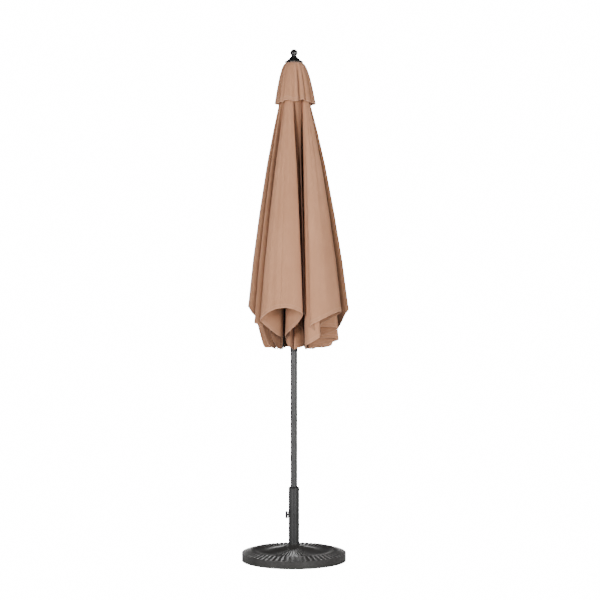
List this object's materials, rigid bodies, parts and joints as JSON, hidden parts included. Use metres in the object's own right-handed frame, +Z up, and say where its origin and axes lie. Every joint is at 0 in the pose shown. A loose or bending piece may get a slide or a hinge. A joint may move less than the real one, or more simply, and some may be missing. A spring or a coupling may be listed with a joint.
{
  "type": "patio umbrella",
  "caption": "Closed garden parasol: folded cloth canopy on hinged ribs with a sliding runner and crank, two-part pole, standing in a round fluted cast base with a side clamp knob",
  "frame": {"origin": "centre of the underside of the base, on the floor", "axes": "+Z up along the pole; the clamp knob points to -X; the front is -Y"},
  "size_m": [0.49, 0.49, 2.403],
  "materials": {
    "cast_base": "dark bronze paint on a fluted casting",
    "base_tube_paint": "satin dark powder coat",
    "pole_paint": "satin dark powder coat",
    "frame_paint": "satin dark powder coat",
    "dark_plastic": "near-black moulded plastic",
    "finial_gloss": "glossy dark moulding",
    "bare_steel": "plated steel",
    "canopy_cloth": "woven light tan canopy cloth"
  },
  "bodies": {
    "base": {"base_plate": "cast_base", "base_tube": "base_tube_paint", "tube_foot_plug": "dark_plastic", "base_bolt": "bare_steel", "tube_bushing": "dark_plastic", "clamp_boss": "base_tube_paint"},
    "clamp": {"clamp_screw": "bare_steel", "clamp_handle": "dark_plastic"},
    "umbrella": {"lower_pole": "pole_paint", "pole_end_cap": "dark_plastic", "pole_ferrule": "dark_plastic", "pole_coupler": "bare_steel", "upper_pole": "pole_paint", "crank_housing_front": "dark_plastic", "crank_housing_back": "dark_plastic", "housing_screws": "bare_steel", "top_hub": "dark_plastic", "hub_pins": "bare_steel", "finial": "finial_gloss", "finial_stud": "bare_steel", "vent_canopy": "canopy_cloth"},
    "crank": {"crank_spool": "bare_steel", "crank_arm": "frame_paint"},
    "grip": {"crank_grip": "dark_plastic"},
    "runner": {"runner": "dark_plastic"},
    "rib_1": {"rib_1": "frame_paint"},
    "stretcher_1": {"stretcher_1": "frame_paint"},
    "cloth_1_left": {"cloth_1_left": "canopy_cloth"},
    "cloth_1_right": {"cloth_1_right": "canopy_cloth"},
    "rib_2": {"rib_2": "frame_paint"},
    "stretcher_2": {"stretcher_2": "frame_paint"},
    "cloth_2_left": {"cloth_2_left": "canopy_cloth"},
    "cloth_2_right": {"cloth_2_right": "canopy_cloth"},
    "rib_3": {"rib_3": "frame_paint"},
    "stretcher_3": {"stretcher_3": "frame_paint"},
    "cloth_3_left": {"cloth_3_left": "canopy_cloth"},
    "cloth_3_right": {"cloth_3_right": "canopy_cloth"},
    "rib_4": {"rib_4": "frame_paint"},
    "stretcher_4": {"stretcher_4": "frame_paint"},
    "cloth_4_left": {"cloth_4_left": "canopy_cloth"},
    "cloth_4_right": {"cloth_4_right": "canopy_cloth"},
    "rib_5": {"rib_5": "frame_paint"},
    "stretcher_5": {"stretcher_5": "frame_paint"},
    "cloth_5_left": {"cloth_5_left": "canopy_cloth"},
    "cloth_5_right": {"cloth_5_right": "canopy_cloth"},
    "rib_6": {"rib_6": "frame_paint"},
    "stretcher_6": {"stretcher_6": "frame_paint"},
    "cloth_6_left": {"cloth_6_left": "canopy_cloth"},
    "cloth_6_right": {"cloth_6_right": "canopy_cloth"},
    "rib_7": {"rib_7": "frame_paint"},
    "stretcher_7": {"stretcher_7": "frame_paint"},
    "cloth_7_left": {"cloth_7_left": "canopy_cloth"},
    "cloth_7_right": {"cloth_7_right": "canopy_cloth"},
    "rib_8": {"rib_8": "frame_paint"},
    "stretcher_8": {"stretcher_8": "frame_paint"},
    "cloth_8_left": {"cloth_8_left": "canopy_cloth"},
    "cloth_8_right": {"cloth_8_right": "canopy_cloth"}
  },
  "joints": [
    {"name": "umbrella_lift", "type": "slide", "parent": "base", "child": "umbrella", "axis": [0, 0, 1], "range_m": [0, 0.3]},
    {"name": "clamp_turn", "type": "hinge", "parent": "base", "child": "clamp", "pos_m": [-0.04, 0, 0.213], "axis": [1, 0, 0], "continuous": true},
    {"name": "runner_slide", "type": "slide", "parent": "umbrella", "child": "runner", "axis": [0, 0, 1], "range_m": [0, 0.68394], "deforming": ["vent_canopy"]},
    {"name": "crank_turn", "type": "hinge", "parent": "umbrella", "child": "crank", "pos_m": [0, 0, 1.2], "axis": [0.3827, -0.9239, 0], "range_deg": [0, 2160]},
    {"name": "grip_spin", "type": "hinge", "parent": "crank", "child": "grip", "pos_m": [0, 0, 1.156], "axis": [0.3827, -0.9239, 0], "continuous": true},
    {"name": "rib_1_hinge", "type": "hinge", "parent": "umbrella", "child": "rib_1", "pos_m": [0.03, 0, 2.325], "axis": [0, -1, 0], "range_deg": [0, 68.5]},
    {"name": "stretcher_1_hinge", "type": "hinge", "parent": "rib_1", "child": "stretcher_1", "pos_m": [0.04361, 0, 1.80518], "axis": [0, 1, 0], "range_deg": [0, 137]},
    {"name": "cloth_1_left_fold", "type": "hinge", "parent": "rib_1", "child": "cloth_1_left", "pos_m": [0.02844, 0.01148, 2.32606], "axis": [0.8339, 0.523, 0.1762], "range_deg": [0, 20.09], "deforming": ["cloth_1_left"]},
    {"name": "cloth_1_right_fold", "type": "hinge", "parent": "rib_1", "child": "cloth_1_right", "pos_m": [0.02844, -0.01148, 2.32606], "axis": [-0.8339, 0.523, -0.1762], "range_deg": [0, 20.09], "deforming": ["cloth_1_right"]},
    {"name": "rib_2_hinge", "type": "hinge", "parent": "umbrella", "child": "rib_2", "pos_m": [0.02121, 0.02121, 2.325], "axis": [0.7071, -0.7071, 0], "range_deg": [0, 68.5]},
    {"name": "stretcher_2_hinge", "type": "hinge", "parent": "rib_2", "child": "stretcher_2", "pos_m": [0.03084, 0.03084, 1.80518], "axis": [-0.7071, 0.7071, 0], "range_deg": [0, 137]},
    {"name": "cloth_2_left_fold", "type": "hinge", "parent": "rib_2", "child": "cloth_2_left", "pos_m": [0.01199, 0.02823, 2.32606], "axis": [0.2198, 0.9595, 0.1762], "range_deg": [0, 20.09], "deforming": ["cloth_2_left"]},
    {"name": "cloth_2_right_fold", "type": "hinge", "parent": "rib_2", "child": "cloth_2_right", "pos_m": [0.02823, 0.01199, 2.32606], "axis": [-0.9595, -0.2198, -0.1762], "range_deg": [0, 20.09], "deforming": ["cloth_2_right"]},
    {"name": "rib_3_hinge", "type": "hinge", "parent": "umbrella", "child": "rib_3", "pos_m": [0, 0.03, 2.325], "axis": [1, 0, 0], "range_deg": [0, 68.5]},
    {"name": "stretcher_3_hinge", "type": "hinge", "parent": "rib_3", "child": "stretcher_3", "pos_m": [0, 0.04361, 1.80518], "axis": [-1, 0, 0], "range_deg": [0, 137]},
    {"name": "cloth_3_left_fold", "type": "hinge", "parent": "rib_3", "child": "cloth_3_left", "pos_m": [-0.01148, 0.02844, 2.32606], "axis": [-0.523, 0.8339, 0.1762], "range_deg": [0, 20.09], "deforming": ["cloth_3_left"]},
    {"name": "cloth_3_right_fold", "type": "hinge", "parent": "rib_3", "child": "cloth_3_right", "pos_m": [0.01148, 0.02844, 2.32606], "axis": [-0.523, -0.8339, -0.1762], "range_deg": [0, 20.09], "deforming": ["cloth_3_right"]},
    {"name": "rib_4_hinge", "type": "hinge", "parent": "umbrella", "child": "rib_4", "pos_m": [-0.02121, 0.02121, 2.325], "axis": [0.7071, 0.7071, 0], "range_deg": [0, 68.5]},
    {"name": "stretcher_4_hinge", "type": "hinge", "parent": "rib_4", "child": "stretcher_4", "pos_m": [-0.03084, 0.03084, 1.80518], "axis": [-0.7071, -0.7071, 0], "range_deg": [0, 137]},
    {"name": "cloth_4_left_fold", "type": "hinge", "parent": "rib_4", "child": "cloth_4_left", "pos_m": [-0.02823, 0.01199, 2.32606], "axis": [-0.9595, 0.2198, 0.1762], "range_deg": [0, 20.09], "deforming": ["cloth_4_left"]},
    {"name": "cloth_4_right_fold", "type": "hinge", "parent": "rib_4", "child": "cloth_4_right", "pos_m": [-0.01199, 0.02823, 2.32606], "axis": [0.2198, -0.9595, -0.1762], "range_deg": [0, 20.09], "deforming": ["cloth_4_right"]},
    {"name": "rib_5_hinge", "type": "hinge", "parent": "umbrella", "child": "rib_5", "pos_m": [-0.03, 0, 2.325], "axis": [0, 1, 0], "range_deg": [0, 68.5]},
    {"name": "stretcher_5_hinge", "type": "hinge", "parent": "rib_5", "child": "stretcher_5", "pos_m": [-0.04361, 0, 1.80518], "axis": [0, -1, 0], "range_deg": [0, 137]},
    {"name": "cloth_5_left_fold", "type": "hinge", "parent": "rib_5", "child": "cloth_5_left", "pos_m": [-0.02844, -0.01148, 2.32606], "axis": [-0.8339, -0.523, 0.1762], "range_deg": [0, 20.09], "deforming": ["cloth_5_left"]},
    {"name": "cloth_5_right_fold", "type": "hinge", "parent": "rib_5", "child": "cloth_5_right", "pos_m": [-0.02844, 0.01148, 2.32606], "axis": [0.8339, -0.523, -0.1762], "range_deg": [0, 20.09], "deforming": ["cloth_5_right"]},
    {"name": "rib_6_hinge", "type": "hinge", "parent": "umbrella", "child": "rib_6", "pos_m": [-0.02121, -0.02121, 2.325], "axis": [-0.7071, 0.7071, 0], "range_deg": [0, 68.5]},
    {"name": "stretcher_6_hinge", "type": "hinge", "parent": "rib_6", "child": "stretcher_6", "pos_m": [-0.03084, -0.03084, 1.80518], "axis": [0.7071, -0.7071, 0], "range_deg": [0, 137]},
    {"name": "cloth_6_left_fold", "type": "hinge", "parent": "rib_6", "child": "cloth_6_left", "pos_m": [-0.01199, -0.02823, 2.32606], "axis": [-0.2198, -0.9595, 0.1762], "range_deg": [0, 20.09], "deforming": ["cloth_6_left"]},
    {"name": "cloth_6_right_fold", "type": "hinge", "parent": "rib_6", "child": "cloth_6_right", "pos_m": [-0.02823, -0.01199, 2.32606], "axis": [0.9595, 0.2198, -0.1762], "range_deg": [0, 20.09], "deforming": ["cloth_6_right"]},
    {"name": "rib_7_hinge", "type": "hinge", "parent": "umbrella", "child": "rib_7", "pos_m": [0, -0.03, 2.325], "axis": [-1, 0, 0], "range_deg": [0, 68.5]},
    {"name": "stretcher_7_hinge", "type": "hinge", "parent": "rib_7", "child": "stretcher_7", "pos_m": [0, -0.04361, 1.80518], "axis": [1, 0, 0], "range_deg": [0, 137]},
    {"name": "cloth_7_left_fold", "type": "hinge", "parent": "rib_7", "child": "cloth_7_left", "pos_m": [0.01148, -0.02844, 2.32606], "axis": [0.523, -0.8339, 0.1762], "range_deg": [0, 20.09], "deforming": ["cloth_7_left"]},
    {"name": "cloth_7_right_fold", "type": "hinge", "parent": "rib_7", "child": "cloth_7_right", "pos_m": [-0.01148, -0.02844, 2.32606], "axis": [0.523, 0.8339, -0.1762], "range_deg": [0, 20.09], "deforming": ["cloth_7_right"]},
    {"name": "rib_8_hinge", "type": "hinge", "parent": "umbrella", "child": "rib_8", "pos_m": [0.02121, -0.02121, 2.325], "axis": [-0.7071, -0.7071, 0], "range_deg": [0, 68.5]},
    {"name": "stretcher_8_hinge", "type": "hinge", "parent": "rib_8", "child": "stretcher_8", "pos_m": [0.03084, -0.03084, 1.80518], "axis": [0.7071, 0.7071, 0], "range_deg": [0, 137]},
    {"name": "cloth_8_left_fold", "type": "hinge", "parent": "rib_8", "child": "cloth_8_left", "pos_m": [0.02823, -0.01199, 2.32606], "axis": [0.9595, -0.2198, 0.1762], "range_deg": [0, 20.09], "deforming": ["cloth_8_left"]},
    {"name": "cloth_8_right_fold", "type": "hinge", "parent": "rib_8", "child": "cloth_8_right", "pos_m": [0.01199, -0.02823, 2.32606], "axis": [-0.2198, 0.9595, -0.1762], "range_deg": [0, 20.09], "deforming": ["cloth_8_right"]}
  ],
  "couplings": [
    {"joint": "crank_turn", "follows": "runner_slide", "rad_per_m": 55.12},
    {"joint": "rib_1_hinge", "follows": "runner_slide", "rad_per_m": 1.748},
    {"joint": "stretcher_1_hinge", "follows": "runner_slide", "rad_per_m": 3.4961},
    {"joint": "cloth_1_left_fold", "follows": "runner_slide", "rad_per_m": 0.51276},
    {"joint": "cloth_1_right_fold", "follows": "runner_slide", "rad_per_m": 0.51276},
    {"joint": "rib_2_hinge", "follows": "runner_slide", "rad_per_m": 1.748},
    {"joint": "stretcher_2_hinge", "follows": "runner_slide", "rad_per_m": 3.4961},
    {"joint": "cloth_2_left_fold", "follows": "runner_slide", "rad_per_m": 0.51276},
    {"joint": "cloth_2_right_fold", "follows": "runner_slide", "rad_per_m": 0.51276},
    {"joint": "rib_3_hinge", "follows": "runner_slide", "rad_per_m": 1.748},
    {"joint": "stretcher_3_hinge", "follows": "runner_slide", "rad_per_m": 3.4961},
    {"joint": "cloth_3_left_fold", "follows": "runner_slide", "rad_per_m": 0.51276},
    {"joint": "cloth_3_right_fold", "follows": "runner_slide", "rad_per_m": 0.51276},
    {"joint": "rib_4_hinge", "follows": "runner_slide", "rad_per_m": 1.748},
    {"joint": "stretcher_4_hinge", "follows": "runner_slide", "rad_per_m": 3.4961},
    {"joint": "cloth_4_left_fold", "follows": "runner_slide", "rad_per_m": 0.51276},
    {"joint": "cloth_4_right_fold", "follows": "runner_slide", "rad_per_m": 0.51276},
    {"joint": "rib_5_hinge", "follows": "runner_slide", "rad_per_m": 1.748},
    {"joint": "stretcher_5_hinge", "follows": "runner_slide", "rad_per_m": 3.4961},
    {"joint": "cloth_5_left_fold", "follows": "runner_slide", "rad_per_m": 0.51276},
    {"joint": "cloth_5_right_fold", "follows": "runner_slide", "rad_per_m": 0.51276},
    {"joint": "rib_6_hinge", "follows": "runner_slide", "rad_per_m": 1.748},
    {"joint": "stretcher_6_hinge", "follows": "runner_slide", "rad_per_m": 3.4961},
    {"joint": "cloth_6_left_fold", "follows": "runner_slide", "rad_per_m": 0.51276},
    {"joint": "cloth_6_right_fold", "follows": "runner_slide", "rad_per_m": 0.51276},
    {"joint": "rib_7_hinge", "follows": "runner_slide", "rad_per_m": 1.748},
    {"joint": "stretcher_7_hinge", "follows": "runner_slide", "rad_per_m": 3.4961},
    {"joint": "cloth_7_left_fold", "follows": "runner_slide", "rad_per_m": 0.51276},
    {"joint": "cloth_7_right_fold", "follows": "runner_slide", "rad_per_m": 0.51276},
    {"joint": "rib_8_hinge", "follows": "runner_slide", "rad_per_m": 1.748},
    {"joint": "stretcher_8_hinge", "follows": "runner_slide", "rad_per_m": 3.4961},
    {"joint": "cloth_8_left_fold", "follows": "runner_slide", "rad_per_m": 0.51276},
    {"joint": "cloth_8_right_fold", "follows": "runner_slide", "rad_per_m": 0.51276}
  ]
}
